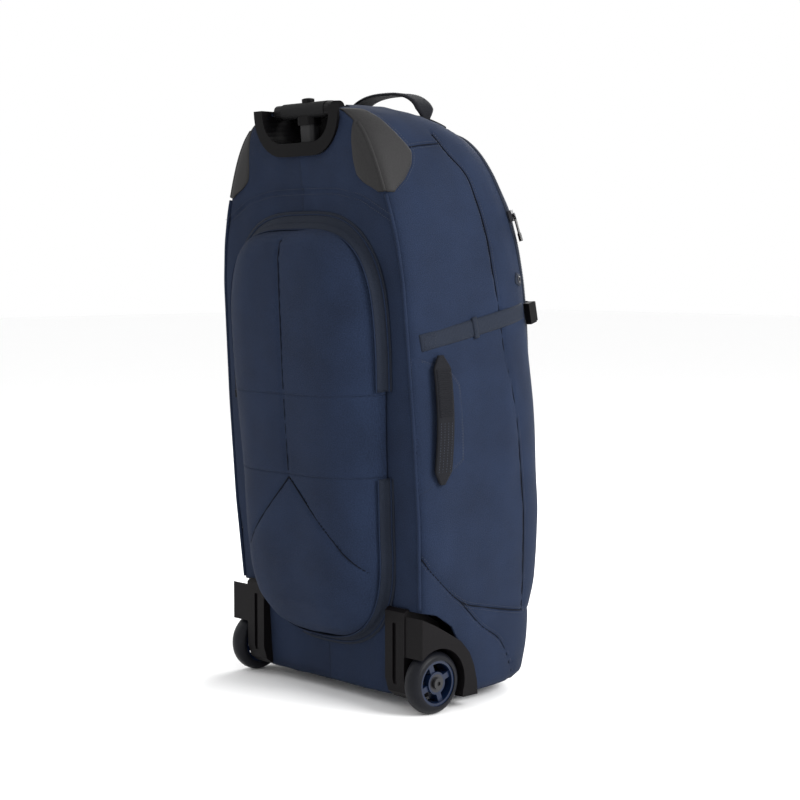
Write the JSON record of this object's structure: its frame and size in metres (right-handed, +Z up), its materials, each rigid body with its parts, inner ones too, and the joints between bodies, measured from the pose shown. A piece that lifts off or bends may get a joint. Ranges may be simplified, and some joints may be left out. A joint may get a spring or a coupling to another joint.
{
  "type": "wheeled trolley bag",
  "caption": "Tall upright fabric trolley bag with a one-pole telescopic handle, in-line wheels, a stowed harness and a zipped front lid.",
  "frame": {"origin": "on the floor under the middle of the bag", "axes": "+Z up, +X to the right when looking at the trolley handle side, +Y from the trolley handle side towards the front lid"},
  "size_m": [0.3752, 0.3225, 0.748],
  "materials": {
    "navy_fabric": "woven polyester, matt",
    "charcoal_webbing": "ribbed webbing and zip tape",
    "black_webbing": "black webbing",
    "guard": "coated fabric with a fine leather grain",
    "black_plastic": "moulded, satin",
    "dark_plastic": "moulded, fine texture",
    "soft_grip": "soft-touch",
    "tyre_rubber": "polyurethane, matt",
    "hub_blue": "moulded, semi-gloss",
    "tube_metal": "anodised",
    "dark_tube": "powder coated, satin",
    "steel": "plain steel",
    "black_steel": "black oxide",
    "zip_metal": "dark nickel",
    "board": "extruded sheet",
    "foam": "spacer mesh over foam"
  },
  "bodies": {
    "bag": {"main_shell": "navy_fabric", "main_zip": "charcoal_webbing", "piping": "navy_fabric", "corner_guards": "guard", "frame_sheet": "board", "base_board": "dark_plastic", "front_feet": "black_plastic", "foot_screws": "steel", "recess_cup": "black_plastic", "pole_outer": "dark_tube", "pole_foot": "dark_plastic", "pole_collar": "black_plastic", "harness_bridge": "navy_fabric", "upper_zip": "charcoal_webbing", "lower_zip": "charcoal_webbing", "back_pad": "foam", "shoulder_straps": "foam", "hip_belt": "foam", "housing_left": "dark_plastic", "housing_right": "dark_plastic", "housing_screws": "steel", "axle_left": "black_steel", "axle_right": "black_steel", "grab_handle_feet": "black_webbing", "side_handle_patch": "navy_fabric", "strap_left": "charcoal_webbing", "strap_right": "charcoal_webbing", "buckle_sockets": "black_plastic", "strap_keepers": "charcoal_webbing", "zip_tab": "charcoal_webbing"},
    "lid": {"front_lid": "navy_fabric", "buckle_plugs": "black_plastic", "lid_webbing": "charcoal_webbing"},
    "main_slider": {"main_zip_slider": "zip_metal"},
    "main_puller": {"main_zip_puller": "black_plastic"},
    "pole_mid": {"pole_middle": "tube_metal", "middle_collar": "black_plastic"},
    "grip": {"pole_inner": "dark_tube", "grip_core": "black_plastic", "grip_sleeve": "soft_grip", "grip_caps": "black_plastic"},
    "button": {"grip_button": "black_plastic"},
    "harness_upper": {"harness_upper_panel": "navy_fabric"},
    "harness_lower": {"harness_lower_panel": "navy_fabric"},
    "upper_slider": {"upper_zip_slider": "zip_metal"},
    "upper_puller": {"upper_zip_puller": "black_plastic"},
    "lower_slider": {"lower_zip_slider": "zip_metal"},
    "lower_puller": {"lower_zip_puller": "black_plastic"},
    "wheel_left": {"tyre_left": "tyre_rubber", "hub_left": "hub_blue", "bearings_left": "steel", "spacer_left": "steel"},
    "wheel_right": {"tyre_right": "tyre_rubber", "hub_right": "hub_blue", "bearings_right": "steel", "spacer_right": "steel"},
    "grab": {"grab_handle": "black_webbing"},
    "side_grab": {"side_handle": "charcoal_webbing"}
  },
  "joints": [
    {"name": "wheel_left_spin", "type": "hinge", "parent": "bag", "child": "wheel_left", "pos_m": [-0.1656, -0.069, 0.038], "axis": [1, 0, 0], "continuous": true},
    {"name": "wheel_right_spin", "type": "hinge", "parent": "bag", "child": "wheel_right", "pos_m": [0.1656, -0.069, 0.038], "axis": [1, 0, 0], "continuous": true},
    {"name": "pole_middle_slide", "type": "slide", "parent": "bag", "child": "pole_mid", "axis": [0, -0.075, 0.9972], "range_m": [0, 0.19]},
    {"name": "pole_inner_slide", "type": "slide", "parent": "pole_mid", "child": "grip", "axis": [0, -0.075, 0.9972], "range_m": [0, 0.19]},
    {"name": "button_press", "type": "slide", "parent": "grip", "child": "button", "axis": [0, 0.075, -0.9972], "range_m": [0, 0.003], "stiffness_N_per_m": 400, "springref_m": -0.001},
    {"name": "lid_open", "type": "hinge", "parent": "bag", "child": "lid", "pos_m": [0, 0.16, 0.19], "axis": [-1, 0, 0], "range_deg": [0, 110]},
    {"name": "harness_upper_open", "type": "hinge", "parent": "bag", "child": "harness_upper", "pos_m": [0, -0.16201, 0.37746], "axis": [1, 0, 0], "range_deg": [0, 100]},
    {"name": "harness_lower_open", "type": "hinge", "parent": "bag", "child": "harness_lower", "pos_m": [0, -0.15464, 0.27943], "axis": [-1, 0, 0], "range_deg": [0, 100]},
    {"name": "main_slider_slide", "type": "slide", "parent": "bag", "child": "main_slider", "axis": [0.1689, 0.2098, -0.963], "range_m": [0, 0.036]},
    {"name": "main_puller_lift", "type": "hinge", "parent": "main_slider", "child": "main_puller", "pos_m": [0.16219, 0.07397, 0.59357], "axis": [0.4316, -0.8942, -0.1191], "range_deg": [0, 100]},
    {"name": "upper_slider_slide", "type": "slide", "parent": "bag", "child": "upper_slider", "axis": [0, -0.075, 0.9972], "range_m": [0, 0.07]},
    {"name": "upper_puller_lift", "type": "hinge", "parent": "upper_slider", "child": "upper_puller", "pos_m": [-0.1415, -0.12027, 0.3985], "axis": [-1, 0, 0], "range_deg": [0, 100]},
    {"name": "lower_slider_slide", "type": "slide", "parent": "bag", "child": "lower_slider", "axis": [0, 0.075, -0.9972], "range_m": [0, 0.05]},
    {"name": "lower_puller_lift", "type": "hinge", "parent": "lower_slider", "child": "lower_puller", "pos_m": [-0.131, -0.10872, 0.24493], "axis": [-1, 0, 0], "range_deg": [0, 100]},
    {"name": "grab_handle_flop", "type": "hinge", "parent": "bag", "child": "grab", "pos_m": [0, 0.017, 0.718], "axis": [1, 0, 0], "range_deg": [-45, 45]},
    {"name": "side_handle_tip", "type": "hinge", "parent": "bag", "child": "side_grab", "pos_m": [0.186, -0.069, 0.352], "axis": [0, 0, 1], "range_deg": [-12, 12]}
  ]
}
